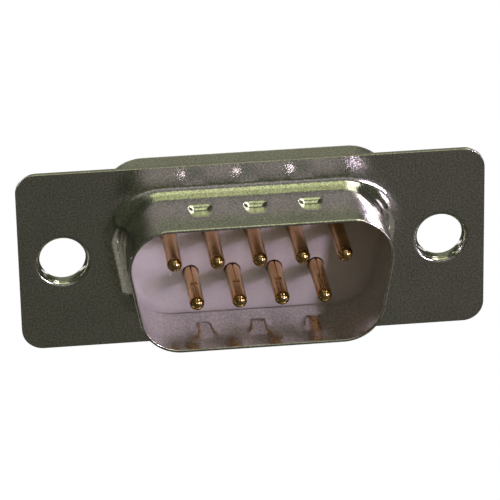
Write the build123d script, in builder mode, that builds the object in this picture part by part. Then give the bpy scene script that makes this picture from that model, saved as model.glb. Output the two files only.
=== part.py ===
"""Nine-way male D-sub connector with solder cups, in millimetres.

X runs along the flange, the nose points along -Y towards the mate, and +Z is up, with the longer row on top.
The origin is the centre of the flange's front face.
"""
import os
from math import cos, radians, sin, sqrt, tan

from build123d import *

# Contact layout, which the shell is sized around
contact_pitch = 2.77
row_pitch = 2.84
upper_count = 5

# Sheet metal, both shells
sheet = 0.36

# D outline of the inside of the nose: its height, and its room beyond the end contacts of the upper row
d_height = 8.36
d_end_room = 2.86
d_corner_r = 2.6
d_side_deg = 10.0

# Flange: its holes lie beyond the ends of the D, its ends beyond the holes, and a strip beyond the nose's root
hole_room = 4.095
hole_r = 1.525
flange_end_room = 2.91
flange_strip = 0.535
flange_corner_r = 1.4
flange_edge_bevel = 0.12
rear_flange_inset = 0.25

# Eyelets drawn from the front shell, through the rear one
eyelet_entry_width = 0.36
eyelet_entry_depth = 0.3
eyelet_wall = 0.25
eyelet_lip_width = 0.3
eyelet_gap = 0.03

# Nose
nose_length = 5.7
nose_root_r = 1.2
mouth_bevel = 0.16

# Grounding dimples pressed into the nose
dimple_count = 3
dimple_pitch = 3.6
dimple_start = 2.0
dimple_length = 2.4
dimple_width = 1.66
dimple_floor_width = 1.1
dimple_floor_length = 0.4
dimple_end_slope = 0.14
dimple_depth = 0.3

# Rear body, with corners tighter than ones that run evenly round the nose
body_grow = 1.18
body_tighten = 0.85
body_rear = 4.6
body_root_r = 0.5
body_edge_r = 1.0

# Insulators
insulator_gap = 0.09
insulator_seat_gap = 0.01
insulator_face_inset = 0.28
insulator_face_step = 0.14
insulator_joint = 2.3
boss_grow = -0.5
boss_stand = 0.5
window_gap = 0.08

# One contact: rolled pin, neck, retaining plate, tail and solder cup
pin_r = 0.5
pin_recess = 0.75
pin_tip_flat_r = 0.2
pin_tip_length = 0.5
pin_hole_gap = 0.05
pin_stand = 0.02
seam_width = 0.09
seam_depth = 0.2
neck_side = 0.66
plate_width = 1.8
plate_height = 1.2
plate_length = 1.2
plate_end_gap = 0.03
tail_width = 1.0
tail_height = 0.56
cup_r = 0.83
cup_wall = 0.23
cup_length = 4.0
cup_floor = 0.4
cup_mouth_level = 0.05
contact_gap = 0.03

# Derived sizes
hair = 0.001
# A flat bevel that touches a rounded edge of radius 1 half-way along has legs of this length
bevel_share = 2 - sqrt(2)
lower_count = upper_count - 1
d_width = (upper_count - 1) * contact_pitch + 2 * d_end_room
hole_span = d_width + 2 * hole_room
flange_width = hole_span + 2 * flange_end_room
flange_height = d_height + 2 * (sheet + nose_root_r + flange_strip)
flange_thickness = 2 * sheet
eyelet_r = hole_r + eyelet_wall
eyelet_rim_r = hole_r + eyelet_entry_width
eyelet_lip_r = eyelet_r + eyelet_lip_width
bend_bevel = bevel_share * (nose_root_r + sheet)
body_inner_grow = body_grow - sheet
body_inner_bevel = bevel_share * (body_edge_r - sheet)
insulator_grow = body_inner_grow - insulator_gap
# The front insulator's shoulder rests on the bevel behind the nose, which sets how far forward its face comes
insulator_seat = sheet - bend_bevel + insulator_grow + insulator_seat_gap
insulator_front = insulator_seat - insulator_face_step
insulator_rear = body_rear - sheet
boss_rear = body_rear + boss_stand
pin_tip = nose_length - pin_recess
pin_rear = insulator_front - pin_stand
plate_rear = insulator_joint + plate_length
cup_end = boss_rear + cup_length

upper_row = [((i - (upper_count - 1) / 2) * contact_pitch, row_pitch / 2) for i in range(upper_count)]
lower_row = [((i - (lower_count - 1) / 2) * contact_pitch, -row_pitch / 2) for i in range(lower_count)]
contact_places = upper_row + lower_row
hole_places = [(-hole_span / 2, 0), (hole_span / 2, 0)]


def depth_plane(y):
    """The plane across the connector at depth y, facing the mate."""
    return Plane(origin=(0, y, 0), x_dir=(1, 0, 0), z_dir=(0, -1, 0))


def flange_shape(y, inset=0.0):
    """The flange's rounded outline at depth y, pulled in by inset."""
    with BuildSketch(depth_plane(y)) as shape:
        RectangleRounded(flange_width - 2 * inset, flange_height - 2 * inset, flange_corner_r - inset)
    return shape.sketch


def d_shape(y, grow, tighten=0.0):
    """The D outline at depth y, grown outwards from the inside of the nose, with corners tightened by a length."""
    slope = radians(d_side_deg)
    up = d_height / 2 - d_corner_r + tighten
    x_wide = d_width / 2 - d_corner_r + tighten * (1 + sin(slope)) / cos(slope)
    x_narrow = x_wide - 2 * up * tan(slope)
    r = d_corner_r + grow - tighten
    with BuildSketch(depth_plane(y)) as shape:
        with BuildLine():
            wide_right = CenterArc((x_wide, up), r, -d_side_deg, 90 + d_side_deg)
            wide_left = CenterArc((-x_wide, up), r, 90, 90 + d_side_deg)
            narrow_left = CenterArc((-x_narrow, -up), r, 180 + d_side_deg, 90 - d_side_deg)
            narrow_right = CenterArc((x_narrow, -up), r, 270, 90 - d_side_deg)
            Line(wide_right @ 1, wide_left @ 0)
            Line(wide_left @ 1, narrow_left @ 0)
            Line(narrow_left @ 1, narrow_right @ 0)
            Line(narrow_right @ 1, wide_right @ 0)
        make_face()
    return shape.sketch


def round_shapes(y, places, r):
    """Circles of one radius at the given places, at depth y."""
    with BuildSketch(depth_plane(y)) as shape:
        with Locations(*places):
            Circle(r)
    return shape.sketch


def square_shapes(y, places, width, height):
    """Rectangles of one size at the given places, at depth y."""
    with BuildSketch(depth_plane(y)) as shape:
        with Locations(*places):
            Rectangle(width, height)
    return shape.sketch


def around_nose(edge):
    """Whether an edge belongs to a D outline and not to a flange's own edge or holes."""
    middle = edge.center()
    strip_edge = flange_height / 2 - rear_flange_inset - hair
    return abs(middle.X) < hole_span / 2 - eyelet_lip_r and abs(middle.Z) < strip_edge


def around_flange(edge):
    """Whether an edge belongs to the flange's own outline."""
    middle = edge.center()
    return abs(middle.X) > hole_span / 2 + eyelet_lip_r or abs(middle.Z) > flange_height / 2 - hair


def edges_at(part, y):
    """The edges of a part that lie at depth y."""
    return part.edges().filter_by_position(Axis.Y, y - hair, y + hair)


# Press shape of the dimples: a wedge, deepest at its rear end and running out towards the mouth
def dimple_wedges(surface, depth):
    """Upper and lower wedges standing inwards from a wall at the given height."""
    with BuildPart() as wedges:
        for i in range(dimple_count):
            x = (i - (dimple_count - 1) / 2) * dimple_pitch
            at = Plane(origin=(x, -dimple_start - dimple_length, surface), x_dir=(1, 0, 0), z_dir=(0, 1, 0))
            side = (dimple_width - dimple_floor_width) / 2
            floor_end = dimple_length - dimple_end_slope
            with Locations(at):
                Wedge(
                    dimple_width, depth, dimple_length,
                    side, floor_end - dimple_floor_length, side + dimple_floor_width, floor_end,
                    align=(Align.CENTER, Align.MIN, Align.MIN),
                )
        mirror(about=Plane.XY)
    return wedges.part


# Front shell
with BuildPart() as front_shell:
    extrude(flange_shape(sheet), amount=sheet)
    extrude(d_shape(0, sheet), amount=nose_length)
    fillet(edges_at(front_shell, 0).filter_by(around_nose), nose_root_r)
    chamfer(edges_at(front_shell, 0).filter_by(around_flange), flange_edge_bevel)
    chamfer(edges_at(front_shell, -nose_length), mouth_bevel)
    extrude(d_shape(sheet, 0), amount=sheet + nose_length, mode=Mode.SUBTRACT)
    chamfer(edges_at(front_shell, sheet).filter_by(around_nose), bend_bevel)
    add(dimple_wedges(d_height / 2, dimple_depth))
    add(dimple_wedges(d_height / 2 + sheet, dimple_depth), mode=Mode.SUBTRACT)
    extrude(round_shapes(sheet, hole_places, eyelet_rim_r), amount=sheet, mode=Mode.SUBTRACT)
    for x, z in hole_places:
        lip_rear = flange_thickness + eyelet_wall
        with BuildSketch(Plane(origin=(x, 0, z))):
            with BuildLine():
                Polyline(
                    (eyelet_rim_r, 0),
                    (hole_r, eyelet_entry_depth),
                    (hole_r, lip_rear),
                    (eyelet_lip_r, flange_thickness),
                    (eyelet_r, flange_thickness),
                    (eyelet_r, sheet),
                    (eyelet_rim_r, sheet),
                    close=True,
                )
            make_face()
        revolve(axis=Axis((x, 0, z), (0, 1, 0)))

# Rear shell
with BuildPart() as rear_shell:
    extrude(flange_shape(flange_thickness, rear_flange_inset), amount=sheet)
    extrude(d_shape(body_rear, body_grow, body_tighten), amount=body_rear - sheet)
    chamfer(edges_at(rear_shell, body_rear), bevel_share * body_edge_r)
    chamfer(edges_at(rear_shell, flange_thickness).filter_by(around_nose), bevel_share * body_root_r)
    extrude(
        d_shape(insulator_rear, body_inner_grow, body_tighten),
        amount=insulator_rear - sheet,
        mode=Mode.SUBTRACT,
    )
    chamfer(edges_at(rear_shell, insulator_rear), body_inner_bevel)
    chamfer(edges_at(rear_shell, sheet).filter_by(around_nose), bevel_share * (body_root_r + sheet))
    extrude(d_shape(body_rear, boss_grow + window_gap), amount=sheet, mode=Mode.SUBTRACT)
    extrude(
        round_shapes(flange_thickness, hole_places, eyelet_r + eyelet_gap), amount=sheet, mode=Mode.SUBTRACT
    )

# Front insulator
with BuildPart() as front_insulator:
    extrude(d_shape(insulator_joint, insulator_grow), amount=insulator_joint - insulator_seat)
    extrude(d_shape(insulator_seat, insulator_grow - insulator_face_inset), amount=insulator_face_step)
    extrude(
        round_shapes(insulator_joint, contact_places, pin_r + pin_hole_gap),
        amount=insulator_joint - insulator_front,
        mode=Mode.SUBTRACT,
    )

# Rear insulator
with BuildPart() as rear_insulator:
    plate_pocket = plate_rear + plate_end_gap
    extrude(d_shape(insulator_rear, insulator_grow), amount=insulator_rear - insulator_joint)
    chamfer(edges_at(rear_insulator, insulator_rear), body_inner_bevel)
    extrude(d_shape(boss_rear, boss_grow), amount=boss_rear - insulator_rear)
    extrude(
        square_shapes(boss_rear, contact_places, tail_width + 2 * contact_gap, tail_height + 2 * contact_gap),
        amount=boss_rear - insulator_joint,
        mode=Mode.SUBTRACT,
    )
    extrude(
        square_shapes(
            plate_pocket, contact_places, plate_width + 2 * contact_gap, plate_height + 2 * contact_gap
        ),
        amount=plate_pocket - insulator_joint,
        mode=Mode.SUBTRACT,
    )

# Contacts, numbered along the upper row and then the lower one; each cup opens away from the other row
contacts = []
for number, (x, z) in enumerate(contact_places, start=1):
    outward = 1 if z > 0 else -1
    place = [(x, z)]
    side = Plane(origin=(x, 0, z), x_dir=(0, 1, 0), z_dir=(outward, 0, 0))
    with BuildPart() as contact:
        # Pin with its tapered tip
        with BuildSketch(side):
            with BuildLine():
                Polyline(
                    (-pin_tip, 0),
                    (-pin_tip, pin_tip_flat_r),
                    (pin_tip_length - pin_tip, pin_r),
                    (pin_rear, pin_r),
                    (pin_rear, 0),
                    close=True,
                )
            make_face()
        revolve(axis=Axis((x, 0, z), (0, 1, 0)))
        # Rolled seam along the inner side
        seam_front = pin_tip_length - pin_tip
        with BuildSketch(side):
            with BuildLine():
                Polyline(
                    (seam_front, -pin_r),
                    (pin_rear, -pin_r),
                    (pin_rear, seam_depth - pin_r),
                    (seam_front, seam_depth - pin_r),
                    close=True,
                )
            make_face()
        extrude(amount=seam_width / 2, both=True, mode=Mode.SUBTRACT)
        # Neck, retaining plate and tail, inside the insulators
        extrude(square_shapes(insulator_joint, place, neck_side, neck_side), amount=insulator_joint - pin_rear)
        extrude(square_shapes(plate_rear, place, plate_width, plate_height), amount=plate_length)
        extrude(square_shapes(boss_rear, place, tail_width, tail_height), amount=boss_rear - plate_rear)
        # Solder cup, open on its outward side
        with BuildSketch(Plane(origin=(x, cup_end, z), x_dir=(outward, 0, 0), z_dir=(0, -1, 0))):
            Circle(cup_r)
            with Locations((0, cup_mouth_level)):
                Rectangle(2 * cup_r, cup_r, align=(Align.CENTER, Align.MIN), mode=Mode.SUBTRACT)
        extrude(amount=cup_length)
        extrude(
            round_shapes(cup_end, place, cup_r - cup_wall), amount=cup_length - cup_floor, mode=Mode.SUBTRACT
        )
    contact.part.label = f"contact_{number}"
    contacts.append(contact.part)

front_shell.part.label = "front_shell"
rear_shell.part.label = "rear_shell"
front_insulator.part.label = "front_insulator"
rear_insulator.part.label = "rear_insulator"

os.makedirs("parts", exist_ok=True)
for part in [front_shell.part, rear_shell.part, front_insulator.part, rear_insulator.part] + contacts:
    export_step(part, f"parts/{part.label}.step")
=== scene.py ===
"""Looks of the nine-way male D-sub connector.

Drawn plated shells, moulded white insulators and gold-flashed contacts. Shapes are written in millimetres in
the model's own frame and turned into metres when a mesh is made.
"""

from math import asin, atan, cos, degrees, pi, radians, sin, tan

import bmesh
import bpy
from mathutils import Matrix, Vector


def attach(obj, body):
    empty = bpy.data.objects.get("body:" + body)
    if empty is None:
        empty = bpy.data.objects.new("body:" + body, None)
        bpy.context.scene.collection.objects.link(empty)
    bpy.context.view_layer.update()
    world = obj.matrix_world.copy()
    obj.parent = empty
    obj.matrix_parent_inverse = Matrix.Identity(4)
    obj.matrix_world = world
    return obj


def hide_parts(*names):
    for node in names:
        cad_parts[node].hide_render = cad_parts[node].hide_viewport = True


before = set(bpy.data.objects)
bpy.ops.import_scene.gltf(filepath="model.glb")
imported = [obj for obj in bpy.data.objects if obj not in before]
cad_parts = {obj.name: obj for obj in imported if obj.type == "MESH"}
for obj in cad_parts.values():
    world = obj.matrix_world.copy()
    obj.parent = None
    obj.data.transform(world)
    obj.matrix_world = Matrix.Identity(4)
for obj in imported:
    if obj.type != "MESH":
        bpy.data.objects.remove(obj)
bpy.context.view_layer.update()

MM = 0.001

# Sizes shared with the solids
SHEET = 0.36
D_WIDTH, D_HEIGHT, D_CORNER_R, D_SIDE = 16.8, 8.36, 2.6, radians(10)
NOSE_LENGTH, NOSE_ROOT_R = 5.7, 1.2
FLANGE_WIDTH, FLANGE_HEIGHT, FLANGE_CORNER_R = 30.81, 12.55, 1.4
HOLE_X, HOLE_R = 24.99 / 2, 1.525
EYELET_ENTRY, EYELET_WALL, EYELET_LIP, EYELET_GAP = 0.36, 0.25, 0.3, 0.03
DIMPLE_PITCH, DIMPLE_START, DIMPLE_LENGTH, DIMPLE_DEPTH = 3.6, 2.0, 2.4, 0.3
DIMPLE_WIDTH, DIMPLE_FLOOR_WIDTH, DIMPLE_END = 1.66, 1.1, 0.14
BODY_GROW, BODY_REAR, BODY_ROOT_R, BODY_EDGE_R, WINDOW_GROW = 1.18, 4.6, 0.5, 1.0, -0.42
BODY_TIGHTEN, REAR_FLANGE_INSET = 0.85, 0.25
PITCH, ROW_PITCH, UPPER_COUNT = 2.77, 2.84, 5
PIN_R, PIN_TIP, PIN_TIP_LENGTH, PIN_REAR = 0.5, 4.95, 0.5, 0.026
JOINT, PLATE_REAR, BOSS_REAR = 2.3, 3.5, 5.1
NECK_SIDE, PLATE_SIZE, TAIL_SIZE = 0.66, (1.8, 1.2), (1.0, 0.56)
CUP_R, CUP_BORE_R, CUP_LENGTH, CUP_FLOOR, CUP_LEVEL = 0.83, 0.6, 4.0, 0.4, 0.05

# Edge roundings
FLANGE_EDGE_R, MOUTH_OUTER_R, MOUTH_INNER_R, LAND = 0.04, 0.1, 0.06, 0.04
EYELET_DEPTH, EYELET_REAR_R, EYELET_LIP_R = 0.5, 0.18, 0.1
DIMPLE_SOFT, CUP_LIP = 0.1, 0.05

# Mesh density
CORNER_STEPS, TOP_STEPS, SIDE_STEPS, FILLET_STEPS, WALL_STEPS = 22, 128, 8, 24, 50
HOLE_STEPS, EDGE_STEPS, MOUTH_STEPS = 72, 6, 8
PIN_STEPS, PIN_ROUND_STEPS, PIN_TIP_STEPS, CUP_STEPS = 6, 21, 9, 24

# The nose as its reflections show it: a wall thinner than the sheet and a tighter root above and below
NOSE_WALL, MOUTH_THIN, MOUTH_THIN_START = 0.24, 0.04, 4.4
ROOT_END_R, ROOT_TOP_R = SHEET + NOSE_ROOT_R - NOSE_WALL, 0.62
ROOT_TAIL, ROOT_DIP, TAIL_STEPS = 0.76, 0.035, 8

# How near to the top a point of the nose lies when it counts as part of the flat wall
FLAT_TOLERANCE = 1e-6

# The seam along each pin: degrees from its middle to its floor's edge, to its brim and to the even steps
SEAM_FLOOR, SEAM_EDGE, SEAM_CLEAR = 3.2, 5.4, 12

# The seam's depth, and the share of the radius that it leaves at least
SEAM_DEPTH, SEAM_LEAST_SHARE = 0.2, 0.1

# Degrees that a pin's bullet tip turns through before its flat end
PIN_TIP_TURN = 78

# The nick across each pin's seam
MARK_Y, MARK_HALF, MARK_TURN, MARK_DEPTH = -2.75, 0.09, 34, 0.1

# How far the floor lies below the origin, in millimetres, half its side, in metres, and its colour
FLOOR_DROP, FLOOR_HALF, FLOOR_COLOUR = 60.0, 3.0, (0.85, 0.85, 0.85)

# Roughness of the floor and the cards, and of every noise
MATT_ROUGHNESS, NOISE_ROUGHNESS = 0.9, 0.55

# The room's light by degrees of elevation, from the horizon in front over the top to the one behind
ROOM = [
    (0, (0.060, 0.072, 0.034)),
    (12, (0.072, 0.080, 0.045)),
    (22, (0.36, 0.325, 0.31)),
    (30, (0.36, 0.325, 0.31)),
    (42, (0.21, 0.21, 0.19)),
    (75, (0.20, 0.20, 0.17)),
    (125, (0.20, 0.21, 0.15)),
    (150, (0.18, 0.185, 0.13)),
    (160, (0.23, 0.23, 0.165)),
    (178, (0.25, 0.245, 0.18)),
]

# The room's light to the left and right, and how far aside a direction turns while it takes over
ROOM_SIDES, ROOM_FADE_START, ROOM_FADE_END = (0.055, 0.061, 0.037), 0.20, 0.45


def new_object(name, bm, material):
    """An object from a mesh in millimetres, riding on the one body."""
    bmesh.ops.recalc_face_normals(bm, faces=bm.faces)
    bmesh.ops.scale(bm, vec=(MM, MM, MM), verts=bm.verts)
    mesh = bpy.data.meshes.new(name)
    bm.to_mesh(mesh)
    bm.free()
    obj = bpy.data.objects.new(name, mesh)
    bpy.context.scene.collection.objects.link(obj)
    mesh.materials.append(material)
    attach(obj, "root")
    return obj


def spread(start, end, steps):
    """Evenly spaced values from start to end, both included."""
    return [start + (end - start) * i / steps for i in range(steps + 1)]


def arc(centre, r, start_deg, end_deg, steps=FILLET_STEPS):
    """Points of a profile along an arc."""
    angles = [radians(a) for a in spread(start_deg, end_deg, steps)]
    return [(centre[0] + r * cos(a), centre[1] + r * sin(a)) for a in angles]


def d_ring(grow, y, tighten=0.0):
    """The D outline grown from the inside of the nose, its corners tightened, at depth y."""
    up = D_HEIGHT / 2 - D_CORNER_R + tighten
    x_wide = D_WIDTH / 2 - D_CORNER_R + tighten * (1 + sin(D_SIDE)) / cos(D_SIDE)
    x_narrow = x_wide - 2 * up * tan(D_SIDE)
    r = D_CORNER_R + grow - tighten
    right_angle = pi / 2
    corners = [
        ((x_wide, up), -D_SIDE, right_angle, TOP_STEPS),
        ((-x_wide, up), right_angle, pi + D_SIDE, SIDE_STEPS),
        ((-x_narrow, -up), pi + D_SIDE, 3 * right_angle, TOP_STEPS),
        ((x_narrow, -up), 3 * right_angle, 2 * pi - D_SIDE, SIDE_STEPS),
    ]

    def on_corner(centre, a):
        return Vector((centre[0] + r * cos(a), y, centre[1] + r * sin(a)))

    ring = []
    for i, (centre, start, end, steps) in enumerate(corners):
        ring += [on_corner(centre, a) for a in spread(start, end, CORNER_STEPS)]
        last = ring[-1]
        goal = on_corner(corners[(i + 1) % len(corners)][0], end)
        ring += [last.lerp(goal, share) for share in spread(0, 1, steps)[1:-1]]
    return ring


def flange_ring(inset, y):
    """The flange's rounded outline, pulled in by inset, at depth y."""
    r = FLANGE_CORNER_R - inset
    x = FLANGE_WIDTH / 2 - FLANGE_CORNER_R
    z = FLANGE_HEIGHT / 2 - FLANGE_CORNER_R
    ring = []
    for quarter, (cx, cz) in enumerate([(x, z), (-x, z), (-x, -z), (x, -z)]):
        for a in spread(quarter * pi / 2, (quarter + 1) * pi / 2, CORNER_STEPS):
            ring.append(Vector((cx + r * cos(a), y, cz + r * sin(a))))
    return ring


def hole_ring(x, r, y):
    """A circle about a fixing hole, at depth y."""
    angles = [2 * pi * i / HOLE_STEPS for i in range(HOLE_STEPS)]
    return [Vector((x + r * cos(a), y, r * sin(a))) for a in angles]


def loft(bm, rings, closed=True):
    """Joins rings of equal length with four-sided faces and returns their vertices."""
    made = [[bm.verts.new(p) for p in ring] for ring in rings]
    count = len(made[0])
    for near, far in zip(made, made[1:]):
        for i in range(count if closed else count - 1):
            j = (i + 1) % count
            bm.faces.new((near[i], near[j], far[j], far[i])).smooth = True
    return made


def cap_ends(bm, made):
    """Closes the first and the last ring of a loft."""
    bm.faces.new(made[0])
    bm.faces.new(made[-1])


def ring_edges(bm, ring):
    """The closed chain of edges through a ring of vertices."""
    edges = []
    for a, b in zip(ring, ring[1:] + ring[:1]):
        edges.append(bm.edges.get((a, b)) or bm.edges.new((a, b)))
    return edges


def fill_flat(bm, *rings):
    """A flat face between an outer ring and the rings inside it."""
    edges = [edge for ring in rings for edge in ring_edges(bm, ring)]
    bmesh.ops.triangle_fill(bm, edges=edges, use_beauty=True, normal=(0, -1, 0))


# Pressed dimples: deepest at the rear end, with a ramp that runs out towards the mouth
def ease(share):
    """A share limited to between 0 and 1, with rounded turns."""
    share = min(1.0, max(0.0, share))
    return share * share * (3 - 2 * share)


def dimple_depth(x, y):
    """How far the nose's upper or lower wall is pressed in at a place."""
    along = -y - DIMPLE_START
    across = min(abs(x - i * DIMPLE_PITCH) for i in (-1, 0, 1))
    side_slope = DIMPLE_WIDTH - DIMPLE_FLOOR_WIDTH
    ramp_length = DIMPLE_LENGTH - DIMPLE_END
    side = ease((DIMPLE_WIDTH / 2 + DIMPLE_SOFT - across) / side_slope)
    rear_end = ease(along / (2 * DIMPLE_END))
    return DIMPLE_DEPTH * side * rear_end * ease((DIMPLE_LENGTH - along) / ramp_length)


def press_dimples(points):
    """Presses the dimples into the upper and lower walls of a ring of the nose."""
    flat_top = max(p.z for p in points)
    for p in points:
        if abs(abs(p.z) - flat_top) < FLAT_TOLERANCE:
            p.z -= dimple_depth(p.x, p.y) * (1 if p.z > 0 else -1)
    return points


# Shells
def make_holes(bm, profile):
    """The walls of both fixing holes, along a profile of radius and depth."""
    return [loft(bm, [hole_ring(x, r, y) for r, y in profile]) for x in (-HOLE_X, HOLE_X)]


def shell_flange(bm, d_front, d_rear, front, rear, hole_rings, inset=0.0):
    """The flat faces and edge of a flange, around a D and two holes."""
    edge = arc((FLANGE_EDGE_R, front + FLANGE_EDGE_R), FLANGE_EDGE_R, -90, -180, EDGE_STEPS)
    edge += [(0, rear - LAND), (LAND, rear)]
    outline = loft(bm, [flange_ring(inset + pull, y) for pull, y in edge])
    fill_flat(bm, outline[0], d_front, *[rings[0] for rings in hole_rings])
    fill_flat(bm, outline[-1], d_rear, *[rings[-1] for rings in hole_rings])


def nose_profile(root_r, tail, dip):
    """Growth and depth from the flange along the nose, round its mouth and back inside.

    The flange dips a little towards the nose over the length of the tail before the root's radius begins.
    """
    lean = atan(2 * dip / tail)
    root = (NOSE_WALL + root_r, -dip - root_r * cos(lean))
    outer = (NOSE_WALL - MOUTH_THIN - MOUTH_OUTER_R, MOUTH_OUTER_R - NOSE_LENGTH)
    inner = (MOUTH_INNER_R, MOUTH_INNER_R - NOSE_LENGTH)
    start = root[0] - root_r * sin(lean)
    tail_shares = spread(0, 1, TAIL_STEPS)[:-1]
    profile = [(start + tail * (1 - share), -dip * share ** 2) for share in tail_shares]
    profile += arc(root, root_r, 90 + degrees(lean), 180)
    for y in spread(root[1], outer[1], WALL_STEPS)[1:-1]:
        thin = ease((-y - MOUTH_THIN_START) / (NOSE_LENGTH - MOUTH_THIN_START))
        profile.append((NOSE_WALL - MOUTH_THIN * thin, y))
    profile += arc(outer, MOUTH_OUTER_R, 0, -90, MOUTH_STEPS)
    profile += arc(inner, MOUTH_INNER_R, -90, -180, EDGE_STEPS)
    profile += [(0, y) for y in spread(inner[1], root[1], WALL_STEPS)[1:-1]]
    for a in spread(pi, pi / 2, FILLET_STEPS):
        profile.append((root[0] + root[0] * cos(a), root[1] + (SHEET - root[1]) * sin(a)))
    profile += [(root[0] + LAND, SHEET)]
    return profile


def eyelet_profile():
    """Radius and depth from the flange's face through a fixing hole and round its turned-over lip."""
    barrel_r = HOLE_R + EYELET_WALL
    rear_shell_back = 2 * SHEET
    lip_rear = rear_shell_back + EYELET_WALL
    rear_round = (HOLE_R + EYELET_REAR_R, lip_rear - EYELET_REAR_R)
    lip_round = (barrel_r + EYELET_LIP - EYELET_LIP_R, rear_shell_back + EYELET_LIP_R)
    profile = [(HOLE_R + EYELET_ENTRY + LAND, 0)]
    for a in spread(0, pi / 2, FILLET_STEPS):
        profile.append((HOLE_R + EYELET_ENTRY * (1 - sin(a)), EYELET_DEPTH * (1 - cos(a))))
    profile += arc(rear_round, EYELET_REAR_R, 180, 90, EDGE_STEPS)
    profile += arc(lip_round, EYELET_LIP_R, 60, -90, EDGE_STEPS)
    profile += [(barrel_r, rear_shell_back), (barrel_r, SHEET)]
    return profile


def make_front_shell(material):
    """The front shell: flange, nose with its root radius, rolled mouth, dimples and eyelets."""
    bm = bmesh.new()
    upright = [(far.z - near.z) ** 2 for near, far in zip(d_ring(0, 0), d_ring(1, 0))]
    end_profile = nose_profile(ROOT_END_R, LAND, 0.0)
    top_profile = nose_profile(ROOT_TOP_R, ROOT_TAIL, ROOT_DIP)
    rings = []
    for at_end, at_top in zip(end_profile, top_profile):
        pairs = zip(d_ring(*at_end), d_ring(*at_top), upright)
        rings.append(press_dimples([end.lerp(top, share) for end, top, share in pairs]))
    nose = loft(bm, rings)
    holes = make_holes(bm, eyelet_profile())
    shell_flange(bm, nose[0], nose[-1], 0, SHEET, holes)
    return new_object("front_shell_drawn", bm, material)


def make_rear_shell(material):
    """The rear shell: flange and drawn cup with the window that the insulator comes through."""
    bm = bmesh.new()
    front, rear = SHEET, 2 * SHEET
    root = (BODY_GROW + BODY_ROOT_R, rear + BODY_ROOT_R)
    edge = (BODY_GROW - BODY_EDGE_R, BODY_REAR - BODY_EDGE_R)
    inside = BODY_REAR - SHEET
    profile = [(root[0] + LAND, rear)]
    profile += arc(root, BODY_ROOT_R, -90, -180)
    profile += arc(edge, BODY_EDGE_R, 0, 90)
    profile += [(WINDOW_GROW + LAND, BODY_REAR), (WINDOW_GROW, BODY_REAR - LAND)]
    profile += [(WINDOW_GROW, inside + LAND), (WINDOW_GROW + LAND, inside)]
    profile += arc(edge, BODY_EDGE_R - SHEET, 90, 0)
    profile += arc(root, BODY_ROOT_R + SHEET, -180, -90)
    profile += [(root[0] + LAND, front)]
    body = loft(bm, [d_ring(grow, y, BODY_TIGHTEN if grow > 0 else 0.0) for grow, y in profile])
    hole_r = HOLE_R + EYELET_WALL + EYELET_GAP
    holes = make_holes(bm, [(hole_r, front), (hole_r, rear)])
    shell_flange(bm, body[-1], body[0], front, rear, holes, REAR_FLANGE_INSET)
    return new_object("rear_shell_drawn", bm, material)


# Contacts
def turned(bm, x, z, profile, seam_angle):
    """A rolled round form about a contact's axis, its seam a narrow groove with a nick across it."""
    offsets = [0, SEAM_FLOOR, SEAM_EDGE] + spread(SEAM_CLEAR, 180, PIN_ROUND_STEPS)
    angles = offsets + [-a for a in offsets[-2:0:-1]]
    rings = []
    for y, r in profile:
        ring = []
        for a in angles:
            turn = seam_angle + radians(a)
            near = max(r - SEAM_DEPTH, SEAM_LEAST_SHARE * r) if abs(a) < SEAM_EDGE else r
            dent = ease(1 - abs(a) / MARK_TURN) * ease(1 - abs(y - MARK_Y) / MARK_HALF)
            near = min(near, r - MARK_DEPTH * dent)
            ring.append(Vector((x + near * cos(turn), y, z + near * sin(turn))))
        rings.append(ring)
    cap_ends(bm, loft(bm, rings))


def block(bm, x, z, size, start, end):
    """A rectangular stretch of a contact between two depths."""
    across, up = size[0] / 2, size[1] / 2
    corners = [(x - across, z - up), (x + across, z - up), (x + across, z + up), (x - across, z + up)]
    made = loft(bm, [[Vector((cx, y, cz)) for cx, cz in corners] for y in (start, end)])
    cap_ends(bm, made)
    for face in {f for ring in made for v in ring for f in v.link_faces}:
        face.smooth = False


def cup(bm, x, z, outward):
    """The half-round solder cup at a contact's rear end, open on its outward side."""
    rear = BOSS_REAR + CUP_LENGTH
    floor = BOSS_REAR + CUP_FLOOR

    def half_round(r, y):
        past = asin(CUP_LEVEL / r)
        angles = spread(-pi - past, past, CUP_STEPS)
        return [Vector((x + r * cos(a), y, z + outward * r * sin(a))) for a in angles]

    sections = [
        half_round(CUP_R - CUP_LIP, BOSS_REAR),
        half_round(CUP_R, BOSS_REAR + CUP_LIP),
        half_round(CUP_R, rear - CUP_LIP),
        half_round(CUP_R - CUP_LIP, rear),
        half_round(CUP_BORE_R + CUP_LIP, rear),
        half_round(CUP_BORE_R, rear - CUP_LIP),
        half_round(CUP_BORE_R, floor),
    ]
    made = loft(bm, sections, closed=False)
    cap_ends(bm, made)
    for side in (0, -1):
        bm.faces.new([ring[side] for ring in made])
    bm.faces.new((made[0][0], made[0][-1], made[-1][-1], made[-1][0]))


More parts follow.
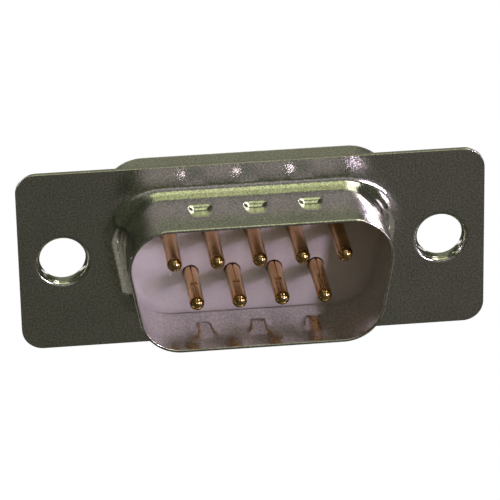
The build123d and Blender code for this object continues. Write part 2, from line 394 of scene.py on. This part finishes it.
def make_contact(number, x, z, material):
    """One contact: rolled pin with a bullet tip, neck, retaining plate, tail and solder cup."""
    bm = bmesh.new()
    outward = 1 if z > 0 else -1
    shoulder = PIN_TIP_LENGTH - PIN_TIP
    depths = [PIN_REAR] + spread(PIN_REAR - LAND, shoulder, PIN_STEPS)
    depths += spread(MARK_Y - MARK_HALF, MARK_Y + MARK_HALF, PIN_STEPS)
    profile = [(y, PIN_R) for y in sorted(depths, reverse=True)]
    for a in spread(0, PIN_TIP_TURN, PIN_TIP_STEPS)[1:]:
        profile.append((shoulder - PIN_TIP_LENGTH * sin(radians(a)), PIN_R * cos(radians(a))))
    turned(bm, x, z, profile, -outward * pi / 2)
    block(bm, x, z, (NECK_SIDE, NECK_SIDE), PIN_REAR, JOINT)
    block(bm, x, z, PLATE_SIZE, JOINT, PLATE_REAR)
    block(bm, x, z, TAIL_SIZE, PLATE_REAR, BOSS_REAR)
    cup(bm, x, z, outward)
    return new_object(f"contact_{number}_rolled", bm, material)


def row(count, z):
    """The places of a centred row of contacts at one height."""
    return [((i - (count - 1) / 2) * PITCH, z) for i in range(count)]


# Materials
def new_material(name):
    """An empty procedural material with its main shader and the object's own coordinates."""
    material = bpy.data.materials.new(name)
    material.use_nodes = True
    nodes, links = material.node_tree.nodes, material.node_tree.links
    shader = nodes["Principled BSDF"]
    place = nodes.new("ShaderNodeTexCoord")
    return material, nodes, links, shader, place.outputs["Object"]


def noise(nodes, links, place, per_mm, detail):
    """Noise with the given number of features per millimetre along X, Y and Z."""
    mapping = nodes.new("ShaderNodeMapping")
    mapping.inputs["Scale"].default_value = [n / MM for n in per_mm]
    links.new(place, mapping.inputs["Vector"])
    texture = nodes.new("ShaderNodeTexNoise")
    texture.inputs["Scale"].default_value = 1.0
    texture.inputs["Detail"].default_value = detail
    texture.inputs["Roughness"].default_value = NOISE_ROUGHNESS
    links.new(mapping.outputs["Vector"], texture.inputs["Vector"])
    return texture.outputs["Fac"]


def ramp(nodes, links, source, stops):
    """A colour ramp with the given places and colours."""
    node = nodes.new("ShaderNodeValToRGB")
    elements = node.color_ramp.elements
    while len(elements) < len(stops):
        elements.new(0.5)
    for element, (at, colour) in zip(elements, stops):
        element.position = at
        element.color = (*colour, 1)
    links.new(source, node.inputs["Fac"])
    return node.outputs["Color"]


def span(nodes, links, source, low, high, start=0.3, end=0.7):
    """A value carried from one range, by default the middle of a noise, to the range from low to high."""
    node = nodes.new("ShaderNodeMapRange")
    node.inputs["From Min"].default_value = start
    node.inputs["From Max"].default_value = end
    node.inputs["To Min"].default_value = low
    node.inputs["To Max"].default_value = high
    links.new(source, node.inputs["Value"])
    return node.outputs["Result"]


def tint(nodes, links, first, second):
    """One colour multiplied by another."""
    node = nodes.new("ShaderNodeMix")
    node.data_type = "RGBA"
    node.blend_type = "MULTIPLY"
    node.inputs["Factor"].default_value = 1.0
    links.new(first, node.inputs["A"])
    links.new(second, node.inputs["B"])
    return node.outputs["Result"]


def bump(nodes, links, height, depth, normal=None):
    """A bump of the given depth in millimetres."""
    node = nodes.new("ShaderNodeBump")
    node.inputs["Strength"].default_value = 1.0
    node.inputs["Distance"].default_value = depth * MM
    links.new(height, node.inputs["Height"])
    if normal:
        links.new(normal, node.inputs["Normal"])
    return node.outputs["Normal"]


def calculate(nodes, links, operation, *terms):
    """The result of an operation on sockets and plain numbers."""
    node = nodes.new("ShaderNodeMath")
    node.operation = operation
    for socket, term in zip(node.inputs, terms):
        if isinstance(term, float):
            socket.default_value = term
        else:
            links.new(term, socket)
    return node.outputs["Value"]


def shell_material():
    """Dull bright plate on drawn steel: fine grain, drawing marks and a slight change of tone."""
    material, nodes, links, shader, place = new_material("plated_steel")
    grain = noise(nodes, links, place, (8, 8, 8), 2.0)
    tone = noise(nodes, links, place, (0.35, 0.35, 0.35), 3.0)
    marks = noise(nodes, links, place, (6, 0.25, 0.5), 3.0)
    colour = ramp(nodes, links, tone, [(0.3, (0.84, 0.83, 0.80)), (0.7, (0.94, 0.93, 0.90))])
    speckle = ramp(nodes, links, grain, [(0.38, (0.60, 0.60, 0.60)), (0.62, (1, 1, 1))])
    links.new(tint(nodes, links, colour, speckle), shader.inputs["Base Color"])
    links.new(span(nodes, links, grain, 0.10, 0.18), shader.inputs["Roughness"])
    shader.inputs["Metallic"].default_value = 1.0
    fine = bump(nodes, links, grain, 0.004)
    links.new(bump(nodes, links, marks, 0.003, normal=fine), shader.inputs["Normal"])
    return material


def insulator_material():
    """Satin white moulding with a faint mottle."""
    material, nodes, links, shader, place = new_material("white_moulding")
    mottle = noise(nodes, links, place, (0.5, 0.5, 0.5), 4.0)
    grain = noise(nodes, links, place, (9, 9, 9), 3.0)
    colour = ramp(nodes, links, mottle, [(0.3, (0.76, 0.72, 0.71)), (0.7, (0.82, 0.78, 0.77))])
    speckle = ramp(nodes, links, grain, [(0.3, (0.90, 0.90, 0.90)), (0.7, (1, 1, 1))])
    links.new(tint(nodes, links, colour, speckle), shader.inputs["Base Color"])
    links.new(span(nodes, links, grain, 0.38, 0.52), shader.inputs["Roughness"])
    links.new(bump(nodes, links, grain, 0.002), shader.inputs["Normal"])
    return material


def contact_material():
    """Gold flash over brass, a little uneven, with fine rolling marks along the pin."""
    material, nodes, links, shader, place = new_material("gold_flash")
    tone = noise(nodes, links, place, (1.4, 0.8, 1.4), 4.0)
    marks = noise(nodes, links, place, (14, 0.8, 14), 3.0)
    colour = ramp(nodes, links, tone, [(0.3, (0.62, 0.36, 0.15)), (0.7, (0.85, 0.58, 0.28))])
    links.new(colour, shader.inputs["Base Color"])
    links.new(span(nodes, links, marks, 0.08, 0.17), shader.inputs["Roughness"])
    shader.inputs["Metallic"].default_value = 1.0
    links.new(bump(nodes, links, marks, 0.002), shader.inputs["Normal"])
    return material


# Stage
def matt_material(name, colour):
    """A plain matt material and its shader."""
    material = bpy.data.materials.new(name)
    material.use_nodes = True
    shader = material.node_tree.nodes["Principled BSDF"]
    shader.inputs["Base Color"].default_value = (*colour, 1)
    shader.inputs["Roughness"].default_value = MATT_ROUGHNESS
    return material, shader


def lay_flat(name, left, right, front, back, rise, material):
    """A level rectangle with sides in metres, raised above the floor's level by millimetres."""
    level = (rise - FLOOR_DROP) * MM
    corners = [(left, front), (right, front), (right, back), (left, back)]
    mesh = bpy.data.meshes.new(name)
    mesh.from_pydata([(x, y, level) for x, y in corners], [], [(0, 1, 2, 3)])
    mesh.materials.append(material)
    obj = bpy.data.objects.new(name, mesh)
    bpy.context.scene.collection.objects.link(obj)
    return obj


def make_floor():
    """A pale floor well below the part that camera, glossy and transmission rays see as white."""
    material, shader = matt_material("floor_white", FLOOR_COLOUR)
    nodes, links = material.node_tree.nodes, material.node_tree.links
    shader.inputs["Specular IOR Level"].default_value = 0.0
    shader.inputs["Emission Color"].default_value = (1, 1, 1, 1)
    rays = nodes.new("ShaderNodeLightPath").outputs
    seen = calculate(nodes, links, "MAXIMUM", rays["Is Camera Ray"], rays["Is Glossy Ray"])
    white = calculate(nodes, links, "MAXIMUM", seen, rays["Is Transmission Ray"])
    links.new(white, shader.inputs["Emission Strength"])
    floor = lay_flat("floor", -FLOOR_HALF, FLOOR_HALF, -FLOOR_HALF, FLOOR_HALF, 0.0, material)


def make_card(name, left, right, front, back, rise, colour):
    """A card just above the floor, hidden from the camera, for the metal to reflect."""
    material, _ = matt_material(name, colour)
    card = lay_flat(name, left, right, front, back, rise, material)
    card.visible_camera = False


def add_lamp(name, direction, distance, size, watts, colour, upright=(0, 0, 1)):
    """A soft lamp that shines at the part from a direction, its height along the upright axis."""
    lamp = bpy.data.lights.new(name, "AREA")
    lamp.shape = "RECTANGLE"
    lamp.size, lamp.size_y = size
    lamp.energy = watts
    lamp.color = colour
    obj = bpy.data.objects.new(name, lamp)
    bpy.context.scene.collection.objects.link(obj)
    towards = Vector(direction).normalized()
    across = Vector(upright).cross(towards).normalized()
    turn = Matrix((across, towards.cross(across), towards)).transposed().to_4x4()
    obj.matrix_world = Matrix.Translation(towards * distance) @ turn
    return obj


def make_lamps():
    """Two lamps from the front right, one from the side, a strip without reflections and two overhead."""
    add_lamp("key", (0.515, -0.840, 0.170), 0.6, (0.045, 0.07), 0.68, (0.82, 0.66, 1.0))
    add_lamp("tall", (0.520, -0.825, 0.225), 0.6, (0.050, 0.36), 0.68, (1.0, 0.88, 0.88))
    add_lamp("side", (0.866, -0.490, 0.096), 0.6, (0.20, 0.16), 0.30, (1.0, 0.86, 1.0))
    strip = add_lamp("strip", (0.938, -0.345, -0.050), 0.6, (0.060, 0.08), 3.2, (1.0, 0.86, 1.0))
    strip.visible_glossy = False
    add_lamp("overhead", (0.09, -0.10, 0.98), 0.5, (0.36, 0.44), 0.28, (0.90, 1.0, 0.41), (0, 1, 0))
    add_lamp("tube", (0.25, -0.02, 0.5), 0.56, (0.16, 0.60), 0.80, (1.0, 1.0, 0.78), (0, 1, 0))


def make_room():
    """A dim room whose light changes from front to back over the top and darkens to the sides."""
    world = bpy.data.worlds.new("room")
    bpy.context.scene.world = world
    world.use_nodes = True
    nodes, links = world.node_tree.nodes, world.node_tree.links
    place = nodes.new("ShaderNodeTexCoord")
    split = nodes.new("ShaderNodeSeparateXYZ")
    links.new(place.outputs["Generated"], split.inputs["Vector"])
    front = calculate(nodes, links, "MULTIPLY", split.outputs["Y"], -1.0)
    rise = calculate(nodes, links, "ARCTAN2", split.outputs["Z"], front)
    turn = span(nodes, links, rise, 0.0, 1.0, 0.0, pi)
    middle = ramp(nodes, links, turn, [(deg / 180, colour) for deg, colour in ROOM])
    aside = calculate(nodes, links, "ABSOLUTE", split.outputs["X"])
    share = span(nodes, links, aside, 0.0, 1.0, ROOM_FADE_START, ROOM_FADE_END)
    mix = nodes.new("ShaderNodeMix")
    mix.data_type = "RGBA"
    links.new(share, mix.inputs["Factor"])
    links.new(middle, mix.inputs["A"])
    mix.inputs["B"].default_value = (*ROOM_SIDES, 1)
    links.new(mix.outputs["Result"], nodes["Background"].inputs["Color"])


def make_camera():
    """The camera at the photograph's place, angle and framing."""
    azimuth, elevation, roll = radians(-5.868), radians(25.53), radians(-1.146)
    distance, focal_px, centre_px = 237.696 * MM, 3613.747, (252.774, 249.3)
    picture_px, sensor_mm, nearest = 500.0, 36.0, 0.005
    back = Vector((sin(azimuth) * cos(elevation), -cos(azimuth) * cos(elevation), sin(elevation)))
    right = Vector((0, 0, 1)).cross(back).normalized()
    up = back.cross(right)
    right, up = cos(roll) * right + sin(roll) * up, cos(roll) * up - sin(roll) * right
    camera = bpy.data.objects.new("camera", bpy.data.cameras.new("camera"))
    bpy.context.scene.collection.objects.link(camera)
    turn = Matrix((right, up, back)).transposed().to_4x4()
    camera.matrix_world = Matrix.Translation(back * distance) @ turn
    camera.data.sensor_width = sensor_mm
    camera.data.lens = focal_px * sensor_mm / picture_px
    camera.data.shift_x = (picture_px / 2 - centre_px[0]) / picture_px
    camera.data.shift_y = (centre_px[1] - picture_px / 2) / picture_px
    camera.data.clip_start = nearest
    bpy.context.scene.camera = camera


def dress(node, material):
    """Gives a solid of the frame its finish."""
    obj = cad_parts[node]
    obj.data.materials.clear()
    obj.data.materials.append(material)


steel, moulding, gold = shell_material(), insulator_material(), contact_material()
front_shell = make_front_shell(steel)
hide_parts("front_shell")
rear_shell = make_rear_shell(steel)
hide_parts("rear_shell")
dress("front_insulator", moulding)
dress("rear_insulator", moulding)
contact_places = row(UPPER_COUNT, ROW_PITCH / 2) + row(UPPER_COUNT - 1, -ROW_PITCH / 2)
for number, (x, z) in enumerate(contact_places, start=1):
    contact = make_contact(number, x, z, gold)
    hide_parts(f"contact_{number}")

make_floor()
make_card("card_dark", -3.0, 3.0, -3.0, 0.30, 1.0, (0.092, 0.095, 0.076))
make_card("card_far", -0.3, 0.5, -3.0, -0.7, 2.0, (0.85, 0.85, 0.80))
make_card("card_left", -0.5, -0.062, -0.045, 0.02, 2.0, (0.55, 0.53, 0.55))
make_card("card_right", 0.06, 0.5, -0.06, 0.02, 2.0, (0.32, 0.31, 0.30))
make_lamps()
make_room()
make_camera()
bpy.context.scene.view_settings.view_transform = "Standard"
